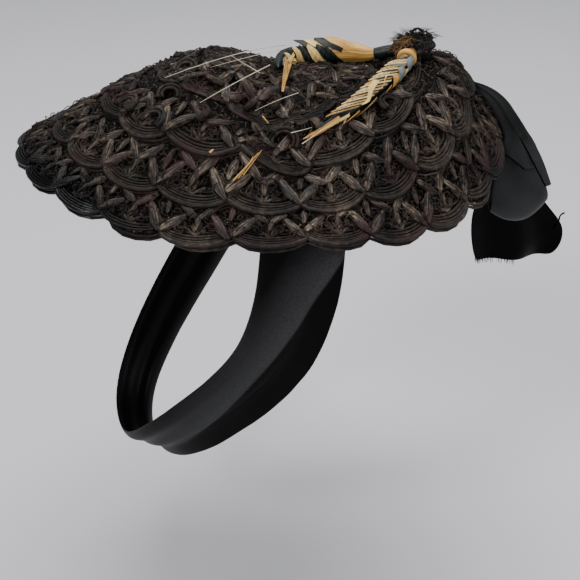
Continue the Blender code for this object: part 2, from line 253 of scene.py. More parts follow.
def glossyMaterial():
    # The front rim's cords have kept their black polish: wet-looking, with small hard lights.
    material, tree, shader = newMaterial("polishedBlackCord", 0.2, Specular_IOR_Level=0.22)
    place = addNode(tree, "TexCoord")["Object"]
    fine = addNode(tree, "TexNoise", {"Vector": place, **grainOf(1.2 * mm, 2.0)})[0]
    bump = addNode(tree, "Bump", {"Height": fine, "Strength": 0.5, "Distance": 0.2 * mm})[0]
    setInputs(tree, shader, {"Base Color": linear("#020202"), "Normal": bump})
    return material


def groundMaterial():
    # The net of fine looped thread between the cords: black holes, and loops with painted glints,
    # random spots of thread made lighter where light would catch them. Its loops are 1.1 mm apart.
    material, tree, shader = newMaterial("loopedThreadGround", 0.7, Specular_IOR_Level=0.08)
    place = addNode(tree, "TexCoord")["Object"]
    wobble = addNode(tree, "TexNoise", {"Vector": place, "Scale": 1 / (2.5 * mm)})["Color"]
    offset = addNode(tree, "VectorMath", {0: wobble, 3: 1.2 * mm}, operation="SCALE")[0]
    moved = addNode(tree, "VectorMath", {0: place, 1: offset}, operation="ADD")[0]
    sockets = {"Vector": moved, "Scale": 1 / (1.1 * mm), "Randomness": 1.0}
    loops = addNode(tree, "TexVoronoi", sockets, feature="DISTANCE_TO_EDGE")["Distance"]
    thread = addNode(tree, "MapRange", {0: loops, 1: 0.02, 2: 0.16, 3: 1.0, 4: 0.0})[0]
    # painted glints: random spots where the thread is made lighter
    spots = addNode(tree, "TexNoise", {"Vector": place, **grainOf(1.6 * mm, 2.0)})[0]
    lit = addNode(tree, "MapRange", {0: spots, 1: 0.42, 2: 0.62, 3: 0.15})[0]
    shown = addNode(tree, "Math", {0: thread, 1: lit}, operation="MULTIPLY")[0]
    stops = ((0.0, "#020202"), (0.4, "#100d0b"), (1.0, "#6b6055"))
    colour = addNode(tree, "ValToRGB", {"Fac": shown}, stops)[0]
    bump = addNode(tree, "Bump", {"Height": thread, "Strength": 1.0, "Distance": 0.5 * mm})[0]
    setInputs(tree, shader, {"Base Color": colour, "Normal": bump})
    return material


silkLooks = {
    "weave": 0.7 * mm,  # coarser than the real 0.2 mm, so that it shows
    "cloud": 30 * mm,
    "weaveDepth": 0.1 * mm,
    # the chin ribbon's painted lit band: the way across it, where it ends sharply at the pressed
    # fold, where it fades out, and how far out from the middle it begins
    "across": (0, -0.875, 0.482),
    "sharp": (-41.4 * mm, -40.2 * mm),
    "faded": (-18 * mm, -38 * mm),
    "near": (10 * mm, 40 * mm),
}


def ribbonMaterial(name, dark, light, shine, sheen):
    # Old silk ribbon, woven close: black and dull where it hangs in shade. The soft grey satin
    # with a low sheen is the same silk with painted light, for the bow's parts turned to the light.
    looks = {"Specular_IOR_Level": shine, "Sheen_Weight": sheen, "Sheen_Roughness": 0.35}
    material, tree, shader = newMaterial(name, 0.38, Sheen_Tint=linear("#8f9092"), **looks)
    place = addNode(tree, "TexCoord")["Object"]
    cloud = addNode(tree, "TexNoise", {"Vector": place, **grainOf(silkLooks["cloud"], 3.0, 0.5)})[0]
    colour = addNode(tree, "ValToRGB", {"Fac": cloud}, ((0.32, dark), (0.68, light)))[0]
    weave = addNode(tree, "TexNoise", {"Vector": place, **grainOf(silkLooks["weave"], 2.0, 0.5)})[0]
    sockets = {"Height": weave, "Strength": 0.25, "Distance": silkLooks["weaveDepth"]}
    setInputs(tree, shader, {"Base Color": colour, "Normal": addNode(tree, "Bump", sockets)[0]})
    return material


def paintedLitBandSilk():
    # The chin ribbon: as black as the bow's tail, but with a painted lit band, grey, that
    # ends sharply at the pressed fold on the wearer's left.
    material, tree, shader = newMaterial("chinSilkPaintedLitBand", 0.4, Specular_IOR_Level=0.06)
    place = addNode(tree, "TexCoord")["Object"]
    sockets = {0: place, 1: silkLooks["across"]}
    across = addNode(tree, "VectorMath", sockets, operation="DOT_PRODUCT")["Value"]
    side = addNode(tree, "SeparateXYZ", {"Vector": place})["X"]
    weave = addNode(tree, "TexNoise", {"Vector": place, **grainOf(silkLooks["weave"], 2.0)})[0]
    band = addNode(tree, "MapRange", {0: weave, 1: 0.35, 2: 0.65, 3: 0.6})[0]
    for spot, bounds in ((across, "sharp"), (across, "faded"), (side, "near")):
        start, end = silkLooks[bounds]
        share = addNode(tree, "MapRange", {0: spot, 1: start, 2: end})[0]
        band = addNode(tree, "Math", {0: band, 1: share}, operation="MULTIPLY")[0]
    # the grey of the painted lit band, over the black of the silk
    colour = addNode(tree, "ValToRGB", {"Fac": band}, ((0.0, "#020202"), (1.0, "#3c3c3e")))[0]
    sockets = {"Height": weave, "Strength": 0.25, "Distance": silkLooks["weaveDepth"]}
    setInputs(tree, shader, {"Base Color": colour, "Normal": addNode(tree, "Bump", sockets)[0]})
    return material


def strawMaterial(name, dark, light, roughness=0.45, grain=(2.0, 18.0, 1.0)):
    # Split straw, dyed or plain: a thin shiny skin over lengthwise fibres.
    material, tree, shader = newMaterial(name, roughness, Specular_IOR_Level=0.3)
    place = addNode(tree, "TexCoord")["UV"]
    grained = addNode(tree, "Mapping", {"Vector": place, "Scale": grain})[0]
    fibres = addNode(tree, "TexNoise", {"Vector": grained, **grainOf(0.5, 3.0, 0.5)})[0]
    colour = addNode(tree, "ValToRGB", {"Fac": fibres}, ((0.32, dark), (0.62, light)))[0]
    bump = addNode(tree, "Bump", {"Height": fibres, "Strength": 0.35, "Distance": 0.15 * mm})[0]
    setInputs(tree, shader, {"Base Color": colour, "Normal": bump})
    return material


straws = {
    "gold": strawMaterial("goldenStraw", "#8a5a20", "#e0b060"),
    "cream": strawMaterial("creamStraw", "#c09048", "#f2d690"),
    "grey": strawMaterial("blueGreyStraw", "#4a5254", "#8b9290"),
    "green": strawMaterial("bottleGreenStraw", "#080d0c", "#1e2826"),
    "sheath": strawMaterial("goldenStrawSheath", "#a0702c", "#dcae62", 0.4, (12.0, 1.5, 1.0)),
    "tan": strawMaterial("tannedStrawFray", "#3a2817", "#9a7444", 0.6),
    "awn": strawMaterial("paleBristle", "#a39b86", "#dcd6c2", 0.3),
}
glossyCord = glossyMaterial()
groundCloth = groundMaterial()
cordCloth = threadedMaterial("fadedViscoseCord", 0.0, 0.5, (3.0, 60.0, 1.0), 0.25 * mm)
threadCloth = threadedMaterial("crimpedThread", 0.02, 0.55, (4.0, 40.0, 1.0), 0.15 * mm)
leafCloth = threadedMaterial("satinStitchLeaf", 0.04, 0.4, (22.0, 2.0, 1.0), 0.7 * mm)
silk = ribbonMaterial("blackSilkRibbon", "#010101", "#040405", 0.05, 0.0)
chinSilk = paintedLitBandSilk()
# the same silk with painted light: made lighter for the bow's loops, fold and knot, which face the light
satin = ribbonMaterial("satinRibbonPaintedLit", "#1b1c1c", "#333434", 0.2, 0.04)
print("materials made")


# The hat's plan, as the frame has it

hat = {"halfWidth": 84 * mm, "frontReach": 114 * mm, "rearReach": 104 * mm}


def planPlace(turn, reach):
    length = hat["frontReach"] if math.cos(turn) > 0 else hat["rearReach"]
    return Vector((hat["halfWidth"] * reach * math.sin(turn), -length * reach * math.cos(turn), 0))


def planShare(spot):
    length = hat["frontReach"] if spot.y < 0 else hat["rearReach"]
    return math.hypot(spot.x / hat["halfWidth"], spot.y / length)


def mergedCopy(node, name):
    copy = copyOf(frame["nodes"][node])
    copy.name = copy.data.name = name
    copy.pop("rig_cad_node", None)
    edit()
    bpy.ops.mesh.remove_doubles(threshold=0.01 * mm)
    return done()


def treeOf(node):
    mesh = frame["nodes"][node].data
    return BVHTree.FromPolygons([v.co for v in mesh.vertices], [p.vertices for p in mesh.polygons])


trees = {node: treeOf(node) for node in ("crown", "second_row", "rim_row", "peak_knot")}


def surfaceAt(nodes, x, y):  # the top of the frame's parts above a place in plan
    hits = []
    for node in nodes:
        spot, normal, *_ = trees[node].ray_cast(Vector((x, y, 0.08)), Vector((0, 0, -1)))
        if spot:
            hits.append((spot.z, normal))
    z, normal = max(hits, key=lambda hit: hit[0])
    return Vector((x, y, z)), normal


def upperFace(node, name):  # the row without its underside
    face = mergedCopy(node, name)
    pick(face, lambda part: part.normal.z < 0.25, "polygons")
    bpy.ops.mesh.delete(type="FACE")
    return done()


def groundOf(node):  # a smooth copy of the row, which carries its cords
    ground = mergedCopy(node, node + "_ground")
    bpy.ops.object.shade_smooth_by_angle(angle=math.radians(50))
    dressed(ground, groundCloth)
    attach(ground, "root")
    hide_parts(node)


def cageOf(node):  # the row's upper face, which a shape key presses flat
    cage = upperFace(node, node + "_cage")
    bpy.ops.object.shape_key_add(from_mix=False)
    bpy.ops.object.shape_key_add(from_mix=False)
    flat = cage.data.shape_keys.key_blocks[-1]
    for point in flat.data:
        point.co.z = 0
    flat.value = 1
    return cage, flat


def layOn(pieces, cage, flat):  # what was made flat follows the row's form
    for piece in pieces:
        only(piece)
        lie = piece.modifiers.new("lie", "SURFACE_DEFORM")
        lie.target = cage
        bpy.ops.object.surfacedeform_bind(modifier="lie")
    flat.value = 0
    for piece in pieces:
        only(piece)
        bpy.ops.object.modifier_apply(modifier="lie")
    bpy.data.objects.remove(cage)


# One scallop of braid, modelled flat with its edge along X and the crown towards +Y

scallop = {
    "pitch": 26 * mm,
    "halfWide": 13.2 * mm,
    "bands": 3,
    "bandStep": 1.1 * mm,
    "cordRadius": 0.48 * mm,
    "edgeRadius": 0.95 * mm,
    "edgeOut": 0.3 * mm,
    "edgeBottom": -0.1 * mm,
    "edgeDrop": -0.5 * mm,
    "threadRadius": 0.36 * mm,
    "crimp": 0.6 * mm,
    "crimped": ((4.3 * mm, 88), (6.6 * mm, 64)),  # inset and corners of each crimped thread
    "leafLength": 13.5 * mm,
    "leafWidth": 4.9 * mm,
    "leafRise": 1.0 * mm,
    "leafHeight": 0.9 * mm,
    "fanLength": 6.5 * mm,
    "fanWidth": 1.6 * mm,
    "fanRise": 0.6 * mm,
    "fanLeans": (-0.9, -0.3, 0.3, 0.9),
    "loops": 52,
    "loopsIn": ((-12.5, 12.5), (5, 19)),  # where the litter of loops lies, in mm
    "loopHeight": 0.3 * mm,
    "loopRadius": 0.8 * mm,
    "loopShares": (0.9, 1.3, 2.0, 2.8),
    "loopThread": 0.22 * mm,
}


def corded(line, radius, sides, caps=False):  # a line of edges becomes a round cord
    only(line)
    bpy.ops.object.convert(target="CURVE")
    curve = bpy.context.object.data
    curve.bevel_depth = radius
    curve.bevel_resolution = (sides - 4) // 2
    curve.use_fill_caps = caps
    bpy.ops.object.convert(target="MESH")
    return bpy.context.object


def bowl(halfWide, deep, bottom, rise, radius, sides, count=44, crimp=0.0):
    # A cord bent to a bowl: a ring, pulled oval, cut open at the top and thickened.
    bpy.ops.object.select_all(action="DESELECT")
    bpy.ops.mesh.primitive_circle_add(vertices=count, radius=1)
    ring = bpy.context.object
    if crimp:
        pick(ring, lambda corner: corner.index % 2 == 0)
        inward = 1 - crimp / deep
        bpy.ops.transform.resize(value=(inward, inward, 1))
        done()
    edit()
    bpy.ops.transform.resize(value=(halfWide, deep, 1))
    bpy.ops.transform.translate(value=(0, bottom + deep, 0))
    bpy.ops.mesh.bisect(plane_co=(0, bottom + deep + rise, 0), plane_no=(0, 1, 0), clear_outer=True)
    done()
    return corded(ring, radius, sides, True)


def threadLeaf(length, width, rise, place, turn, threads=30):
    # A satin-stitched leaf: a spindle whose threads run from tip to tip.
    bpy.ops.object.select_all(action="DESELECT")
    bpy.ops.mesh.primitive_uv_sphere_add(segments=threads, ring_count=7, radius=1)
    leaf = bpy.context.object

    def sunk(corner):  # every second thread, but not the tips
        around = math.atan2(corner.co.y, corner.co.x) * threads / (2 * math.pi)
        return abs(corner.co.z) < 0.99 and round(around) % 2 == 0

    pick(leaf, sunk)
    bpy.ops.transform.resize(value=(0.8, 0.8, 1), center_override=(0, 0, 0))
    bpy.ops.mesh.select_all(action="SELECT")
    bpy.ops.transform.rotate(value=math.pi / 2, orient_axis="Y", center_override=(0, 0, 0))
    bpy.ops.transform.resize(value=(length / 2, width / 2, rise), center_override=(0, 0, 0))
    bpy.ops.mesh.bisect(plane_co=(0, 0, -0.2 * rise), plane_no=(0, 0, -1), clear_outer=True)
    done()
    leaf.location = place
    leaf.rotation_euler.z = turn
    return freeze(leaf)


def looped(radius, thickness, place, tilt, turn, around=10):
    bpy.ops.object.select_all(action="DESELECT")
    bpy.ops.mesh.primitive_torus_add(
        major_radius=radius,
        minor_radius=thickness,
        major_segments=around,
        minor_segments=4,
        location=place,
        rotation=(tilt, 0, turn),
    )
    return freeze(bpy.context.object)


def lifted(obj, rise):
    only(obj)
    edit()
    bpy.ops.transform.translate(value=(0, 0, rise))
    return done()


def scallopCords(deep):  # parallel cords along the edge, then a smaller bowl inside
    s = scallop
    edge = (s["halfWide"] + s["edgeOut"], deep + s["edgeOut"], s["edgeBottom"])
    made = [lifted(bowl(*edge, 0.2 * deep, s["edgeRadius"], 8), s["edgeDrop"])]
    for i in range(s["bands"]):
        inset = (i + 0.5) * s["bandStep"]
        sweep = (s["halfWide"] - inset, deep - inset, s["cordRadius"] + inset)
        made.append(bowl(*sweep, 0.22 * deep, s["cordRadius"], 6))
    inset = (s["bands"] + 1.4) * s["bandStep"]
    sweep = (s["halfWide"] - inset, deep - inset, inset)
    made.append(bowl(*sweep, 0.15 * deep, s["cordRadius"] * 0.8, 6, 32))
    return lifted(joined(made, "scallopCords"), s["cordRadius"] * 0.5)


def scallopThreads(deep, chance):  # crimped thread between the cords, and a litter of loops
    s = scallop
    pieces = []
    for inset, count in s["crimped"]:
        sweep = (s["halfWide"] - inset, max(deep - inset, 2 * mm), inset)
        pieces.append(bowl(*sweep, 0.1 * deep, s["threadRadius"], 4, count, s["crimp"]))
    for _ in range(s["loops"]):
        x, y = [chance.uniform(*span) * mm for span in s["loopsIn"]]
        radius = s["loopRadius"] * chance.choice(s["loopShares"])
        tilt, turn = chance.uniform(-1.3, 1.3), chance.uniform(0, 3.1)
        pieces.append(looped(radius, s["loopThread"], (x, y, s["loopHeight"]), tilt, turn))
    return lifted(joined(pieces, "scallopThreads"), s["threadRadius"])


def scallopLeaves(zigzags, chance):  # leaves end to end in zigzags, and a fan inside the bowl
    s = scallop
    leaves = []
    for x, y, turn, share in zigzags:
        size = share * chance.uniform(0.9, 1.08)
        spot = (x * mm, y * mm, s["leafHeight"])
        turn += chance.uniform(-0.2, 0.2)
        length, width = s["leafLength"] * size, s["leafWidth"] * size
        leaves.append(threadLeaf(length, width, s["leafRise"], spot, turn))
    for lean in s["fanLeans"]:
        way = math.pi / 2 + lean
        reach = s["fanLength"] * chance.uniform(0.75, 1.0)
        spot = (math.cos(way) * reach * 0.55, 3.6 * mm + math.sin(way) * reach * 0.5, 0.2 * mm)
        leaves.append(threadLeaf(reach, s["fanWidth"], s["fanRise"], spot, way, 10))
    return joined(leaves, "scallopLeaves")


# Rows of scallops, laid round the hat

rows = (  # node, number of scallops, share of the plan, whether it lies on the node's edge, kind
    ("rim_row", 24, 1.00, True, "rim"),
    ("second_row", 20, 0.85, True, "deep"),
    ("crown", 15, 0.66, True, "deep"),
    ("crown", 12, 0.46, False, "deep"),
    ("crown", 8, 0.27, False, "deep"),
    ("crown", 4, 0.11, False, "rim"),
)
kinds = {  # depth of the bowl, and leaves as x, y, turn and size
    "rim": {
        "deep": 6.0 * mm,
        "leaves": (
            (8.9, 8.0, -0.76, 0.88), (-8.9, 8.2, 0.78, 0.88), (3.9, 13.4, 0.8, 0.76),
            (-3.9, 13.7, -0.8, 0.76), (0.3, 8.4, 1.3, 0.5), (12.8, 14.0, 1.5, 0.55),
        ),
    },
    "deep": {
        "deep": 7.5 * mm,
        "leaves": (
            (8.9, 9.2, -0.8, 0.94), (-8.9, 9.5, 0.8, 0.94), (4.0, 15.0, 0.8, 0.86),
            (-4.0, 15.4, -0.8, 0.86), (12.8, 15.0, 1.5, 0.62), (0.2, 9.6, 1.4, 0.52),
        ),
    },
}
handWork = {"turn": 0.05, "size": 0.05, "jitter": 0.14 * mm, "seed": 7}
edging = {
    "radius": 0.7 * mm,
    "drops": (1.3 * mm, 2.75 * mm),
    # what is kept of each row's outline: its outer edge, as a share of the hat's plan
    "keep": {"rim_row": 0.9, "second_row": 0.75, "crown": 0.5},
    "stray": 4 * mm,  # what hangs further than this from its row is cut away
}


def trimStrays(piece, node):
    pick(piece, lambda corner: trees[node].find_nearest(corner.co, edging["stray"])[0] is None)
    bpy.ops.mesh.select_linked()
    bpy.ops.mesh.delete(type="VERT")
    done()


def outermost(cage, turn):  # the row's edge on the frame, in plan
    way = planPlace(turn, 1).normalized()
    best = max(
        (corner.co for corner in cage.data.vertices),
        key=lambda co: Vector((co.x, co.y, 0)).dot(way)
        - 2 * abs(Vector((co.x, co.y, 0)).cross(way).z),
    )
    return way * Vector((best.x, best.y, 0)).dot(way)


def placed(piece, spot, along, wide, chance):
    part = copyOf(piece)
    part.location = spot
    part.rotation_euler.z = math.atan2(along.y, along.x) + chance.uniform(-1, 1) * handWork["turn"]
    even = 1 + chance.uniform(-1, 1) * handWork["size"]
    part.scale = (wide / scallop["pitch"] * even, even, 1)
    return freeze(part)


def braidRow(row, cage, chance, models):
    node, count, reach, edge, kind = row
    step = 2 * math.pi / count
    spots = []
    for i in range(count):
        turn = (i + 0.5) * step
        along = planPlace(turn + step / 2, reach) - planPlace(turn - step / 2, reach)
        spot = outermost(cage, turn) if edge else planPlace(turn, reach)
        spots.append((spot, along.normalized(), along.length))
    made = {}
    for part, choices in models[kind].items():
        copies = [
            placed(choices[i % len(choices)], spot, along, wide, chance)
            for i, (spot, along, wide) in enumerate(spots)
        ]
        made[part] = joined(copies, f"{node}_{part}{count}")
    return made


def edgeCords(node):  # cords sewn one under another down the row's scalloped edge
    rim = upperFace(node, node + "_edges")
    edit()
    bpy.ops.mesh.region_to_loop()
    line = parted(rim)
    bpy.data.objects.remove(rim)
    pick(line, lambda corner: planShare(corner.co) < edging["keep"][node])
    bpy.ops.mesh.delete(type="VERT")
    done()
    made = []
    for drop in edging["drops"]:
        cord = copyOf(line)
        cord.location.z = -drop
        made.append(freeze(corded(cord, edging["radius"], 6)))
    bpy.data.objects.remove(line)
    return made


def braidModels(chance):
    models = {}
    for name, kind in kinds.items():
        models[name] = {
            "cords": [scallopCords(kind["deep"])],
            "threads": [scallopThreads(kind["deep"], chance) for _ in range(3)],
            "leaves": [scallopLeaves(kind["leaves"], chance) for _ in range(3)],
        }
    return models


def polishFront(cords):  # the front rim's lower cords
    cords.data.materials.append(glossyCord)
    front, low = sum(polish["front"]) / 2, sum(polish["low"]) / 2
    for face in cords.data.polygons:
        polished = face.center.y < front and face.center.z < low
        face.material_index = 1 if polished else 0


def braid():
    chance = random.Random(handWork["seed"])
    models = braidModels(chance)
    finish = {"cords": cordCloth, "threads": threadCloth, "leaves": leafCloth}
    for node in ("rim_row", "second_row", "crown"):
        edges = edgeCords(node)
        cage, flat = cageOf(node)
        groundOf(node)
        parts = {"cords": [], "threads": [], "leaves": []}
        for row in rows:
            if row[0] == node:
                for part, piece in braidRow(row, cage, chance, models).items():
                    parts[part].append(piece)
        pieces = [joined(found, f"{node}_{part}") for part, found in parts.items()]
        layOn(pieces, cage, flat)
        for part, piece in zip(parts, pieces):
            trimStrays(piece, node)
            if part == "cords":
                piece = joined([piece, *edges], piece.name)
            edit()
            bpy.ops.transform.vertex_random(offset=handWork["jitter"], seed=handWork["seed"])
            done()
            bpy.ops.object.shade_smooth()
            dressed(piece, finish[part])
            if node == "rim_row" and part == "cords":
                polishFront(piece)
            finished(piece, piece.name, "braid" if part == "leaves" else "cord")
        print("braid laid on", node)
    for model in models.values():
        for choices in model.values():
            for piece in choices:
                bpy.data.objects.remove(piece)


braid()
dressed(frame["nodes"]["rim_cord"], cordCloth)


# Strands and straw


def pathThrough(points, radii=None):
    line = bpy.data.curves.new("path", "CURVE")
    line.dimensions = "3D"
    line.twist_mode = "Z_UP"
    run = line.splines.new("NURBS")
    run.points.add(len(points) - 1)
    run.order_u = 3
    run.use_endpoint_u = True
    for i, spot in enumerate(points):
        run.points[i].co = (*spot, 1)
        run.points[i].radius = radii[i] if radii else 1
    path = bpy.data.objects.new("path", line)
    bpy.context.scene.collection.objects.link(path)
    return path


def alongPath(obj, path, axis):  # bent along a path, which then goes
    applied(obj, "CURVE", object=path, deform_axis=axis)
    bpy.data.objects.remove(path)
    return obj


def strand(points, radius, sides=4, radii=None, steps=4):
    path = pathThrough(points, radii)
    path.data.resolution_u = steps
    path.data.bevel_depth = radius
    path.data.bevel_resolution = (sides - 4) // 2
    path.data.use_fill_caps = True
    only(path)
    bpy.ops.object.convert(target="MESH")
    return bpy.context.object


ear = {
    "radius": 4.1 * mm,
    "wall": 0.25 * mm,
    "overlap": 0.09,  # how far each strip tips over the next
    "wrap": math.radians(235),
    "binding": (5.6 * mm, 3.6 * mm),  # place along the near ear, and radius
}
# sets of strips: side, first place, step, length, width, slant from the ear's line and colours
earStrips = {
    "wheat_ear_near": (
        (3.4, 12.0, 2.9, 14.5, 2.3, 20, "green grey green green grey green green green grey "
            "green green green grey green green"),
        (3.8, 13.4, 2.9, 15.5, 0.9, 22, "cream cream gold cream cream cream gold cream cream cream "
            "gold cream cream gold gold"),
        (-1.6, 9.6, 50.0, 9.0, 6.4, -84, "grey"),
        (-3.0, 14.6, 50.0, 6.0, 3.0, -76, "cream"),
        (-1.8, 18.8, 50.0, 9.0, 5.0, -80, "grey"),
        (-2.4, 24.0, 50.0, 8.0, 5.0, -72, "gold"),
        (-3.4, 33.0, 5.2, 13.5, 2.0, -12, "gold green cream green gold"),
        (-6.0, 32.0, 6.0, 12.0, 2.4, -18, "green tan green green green"),
    ),
    "wheat_ear_far": (
        (-2.2, 35.5, 10.4, 20.0, 3.6, 37, "green green green"),
        (-2.2, 40.7, 10.4, 20.0, 3.8, 37, "cream cream cream"),
        (-1.6, 33.0, 30.0, 19.0, 1.4, 37, "green"),
        (4.6, 32.0, 5.2, 14.0, 3.6, 18, "gold green cream green"),
        (-1.0, 74.0, 4.0, 9.5, 6.0, -84, "grey grey"),
    ),
}
earTips = {  # place along the ear, height, length, width, slant and colour of the loose end leaves
    "wheat_ear_near": (
        (64, 2.4, 15, 3.6, -6, "gold"),
        (66, 1.4, 17, 2.6, 9, "gold"),
        (60, 3.2, 15, 1.8, 2, "cream"),
        (62, 2.4, 13, 1.6, -12, "green"),
    ),
    "wheat_ear_far": (
        (85, 3.6, 24, 12.0, 0, "gold"),
        (82, 5.0, 16, 3.4, -7, "tan"),
        (67, 5.2, 15, 3.0, 14, "cream"),
        (69, 5.4, 12, 2.4, -20, "cream"),
    ),
}
earPaths = {  # plan places as shares of the hat's half width and rear reach, then thickness
    "wheat_ear_near": (
        (0.09, 0.60, 0.85), (0.19, 0.52, 1.05), (0.30, 0.44, 1.10), (0.39, 0.35, 1.00),
        (0.47, 0.25, 0.85), (0.52, 0.14, 0.65), (0.55, 0.03, 0.40),
    ),
    "wheat_ear_far": (
        (-0.03, 0.60, 0.70), (-0.11, 0.48, 0.85), (-0.17, 0.34, 1.25), (-0.20, 0.19, 1.20),
        (-0.17, 0.08, 1.05), (-0.04, 0.03, 0.85), (0.11, 0.01, 0.75), (0.28, -0.01, 0.30),
    ),
}


def strawStrip(length, width, colour, point=0.5, fold=0.05):
    # A flat split straw, creased along its middle and cut to a point at its far end.
    bpy.ops.object.select_all(action="DESELECT")
    bpy.ops.mesh.primitive_grid_add(x_subdivisions=8, y_subdivisions=4, size=1)
    strip = bpy.context.object
    pick(strip, lambda corner: abs(corner.co.y) < 0.1)
    bpy.ops.transform.translate(value=(0, 0, fold * width))
    for start, narrow in ((0.3, 0.75), (0.42, 0.35 / 0.75 * point * 2)):
        done()
        pick(strip, lambda corner: corner.co.x > start)
        bpy.ops.transform.resize(value=(1, narrow, 1), center_override=(0, 0, 0))
    bpy.ops.mesh.select_all(action="SELECT")
    bpy.ops.transform.resize(value=(length, width, 1), center_override=(0, 0, 0))
    done()
    applied(strip, "SOLIDIFY", thickness=ear["wall"])
    return dressed(strip, straws[colour])


def earPath(node):
    spots, radii = [], []
    for across, along, share in earPaths[node]:
        spot, _ = surfaceAt(("crown", "second_row"), across * hat["halfWidth"], along * hat["rearReach"])
        spots.append(spot + Vector((0, 0, ear["radius"] * max(share, 0.5) + 0.8 * mm)))
        radii.append(share)
    return pathThrough(spots, radii)


def stripsOf(node):
    pieces = []
    for layer, (side, first, step, length, width, slant, colours) in enumerate(earStrips[node]):
        for i, colour in enumerate(colours.split()):
            strip = strawStrip(length * mm, width * mm, colour)
            strip.rotation_euler = (0, -ear["overlap"], math.radians(90 - slant))
            height = 0.3 + 0.2 * (i % 2) + 0.2 * min(layer, 3)
            strip.location = (side * mm, (first + i * step) * mm, height * mm)
            pieces.append(freeze(strip))
    return joined(pieces, node + "_straw")


def earStraw(node):  # laid flat, then wrapped round the ear
    straw = stripsOf(node)
    edit()
    bpy.ops.transform.rotate(value=-math.pi / 2, orient_axis="X", center_override=(0, 0, 0))
    done()
    applied(straw, "SIMPLE_DEFORM", deform_method="BEND", deform_axis="Z", angle=ear["wrap"])
    edit()
    bpy.ops.transform.rotate(value=math.pi / 2, orient_axis="X", center_override=(0, 0, 0))
    bpy.ops.transform.translate(value=(0, 0, ear["radius"] * 0.9))
    return done()


def stem(colour, start, end, radius, height, sides=24):  # wrapped straw; few sides leave flat folds
    bpy.ops.object.select_all(action="DESELECT")
    bpy.ops.mesh.primitive_uv_sphere_add(segments=sides, ring_count=20, radius=1)
    core = bpy.context.object
    size = (radius * mm, (end - start) / 2 * mm, radius * mm)
    edit()
    bpy.ops.transform.rotate(value=math.pi / 2, orient_axis="X", center_override=(0, 0, 0))
    bpy.ops.transform.resize(value=size, center_override=(0, 0, 0))
    bpy.ops.transform.translate(value=(0, (start + end) / 2 * mm, height * mm))
    done()
    bpy.ops.object.shade_smooth_by_angle(angle=math.radians(25))
    return dressed(core, straws[colour])


def binding(along, radius):  # a flat straw tied round the ear
    bpy.ops.object.select_all(action="DESELECT")
    bpy.ops.mesh.primitive_torus_add(
        major_radius=radius, minor_radius=1.2 * mm, major_segments=28, minor_segments=8
    )
    tie = bpy.context.object
    edit()
    bpy.ops.transform.resize(value=(1, 1, 1.5))
    bpy.ops.transform.rotate(value=math.radians(74), orient_axis="X", center_override=(0, 0, 0))
    bpy.ops.transform.translate(value=(0, along, 0))
    done()
    bpy.ops.object.shade_smooth()
    return dressed(tie, straws["gold"])


def tipLeaves(node):
    leaves = []
    for along, height, length, width, slant, colour in earTips[node]:
        leaf = strawStrip(length * mm, width * mm, colour, 0.1, 0.22)
        leaf.rotation_euler = (0, 0.06, math.radians(90 - slant))
        leaf.location = (0, along * mm, height * mm)
        leaves.append(freeze(leaf))
    return leaves


earStems = {  # colour, start, end, radius, height and sides, in mm
    "wheat_ear_far": (
        ("sheath", 12, 43, 4.3, 0, 11),
        ("green", 0, 20, 3.4, 0),
        ("green", 26, 78, 3.2, -0.4),
    ),
    "wheat_ear_near": (("green", 2, 68, 3.3, -0.4), ("tan", -2, 12, 3.4, 0)),
}


def wheatEar(node):
    parts = [earStraw(node), *tipLeaves(node)]
    parts += [stem(*sizes) for sizes in earStems[node]]
    if node == "wheat_ear_near":
        parts.append(binding(*ear["binding"]))
    straw = joined(parts, node + "_straw")
    finished(alongPath(straw, earPath(node), "POS_Y"), node + "_straw", "straw", node)


bristles = {  # from, by way of, to and thickness, in mm
    "awns": (
        ((6, 4.3, 15.8), (14, -16.6, 17.4), (26, -49.9, 10.5), 0.22),
        ((14, -3.7, 9.7), (28, -20.8, 7.6), (42, -37.1, 4.4), 0.22),
        ((20, -9.0, 8.4), (17, -15.0, 11.6), (14, -21.0, 15.0), 0.16),
        ((10, 2.0, 15.0), (16, -14.0, 14.5), (20, -30.0, 12.0), 0.15),
        ((52, 3.5, -12.4), (51, 8.0, -10.0), (50, 12.7, -7.6), 0.22),
        ((50, -0.8, -8.0), (49, 4.0, -7.6), (48, 8.4, -7.0), 0.18),
        ((44, 23.0, -7.4), (42, 25.0, -4.8), (40, 27.2, -2.5), 0.2),
        ((30, 6.0, 2.0), (34, -4.0, 1.0), (38, -14.0, -2.0), 0.14),
    ),
    "straws": (
        ((63.5, -26.9, -21.6), (59.5, -20.4, -17.2), (55.5, -15.3, -13.6), 0.35),
        ((62.5, -24.9, -21.2), (59.0, -19.8, -17.6), (55.0, -17.0, -14.4), 0.3),
        ((61.0, -22.5, -20.6), (58.0, -18.0, -16.8), (54.5, -13.8, -13.0), 0.3),
        ((53.0, -34.9, -13.2), (52.6, -34.0, -12.4), (52.0, -33.0, -12.2), 0.6),
        ((36.0, -10.5, -5.4), (37.0, -9.6, -6.0), (38.6, -8.4, -7.6), 0.4),
    ),
}
curled = (  # the near ear's curled leaf ends: width and places along each, in mm
    (2.8, ((27.8, 44.8, 7.7), (30.3, 42.3, 7.1), (31.8, 41.8, 4.3), (32.8, 40.3, 2.7), (32.8, 37.0, 3.1))),
    (3.2, ((34.3, 38.8, 7.1), (36.3, 35.8, 4.5), (37.8, 34.3, 0.9), (38.8, 33.4, -0.9), (39.8, 29.6, -1.5))),
)


def curledEnds():
    made = []
    for width, spots in curled:
        strip = strawStrip(13 * mm, width * mm, "cream", 0.8, 0.08)
        edit()
        bpy.ops.transform.translate(value=(6.5 * mm, 0, 0))
        done()
        made.append(alongPath(strip, pathThrough(inMm(spots)), "POS_X"))
    finished(joined(made, "curled_straw_ends"), "curled_straw_ends", "straw")


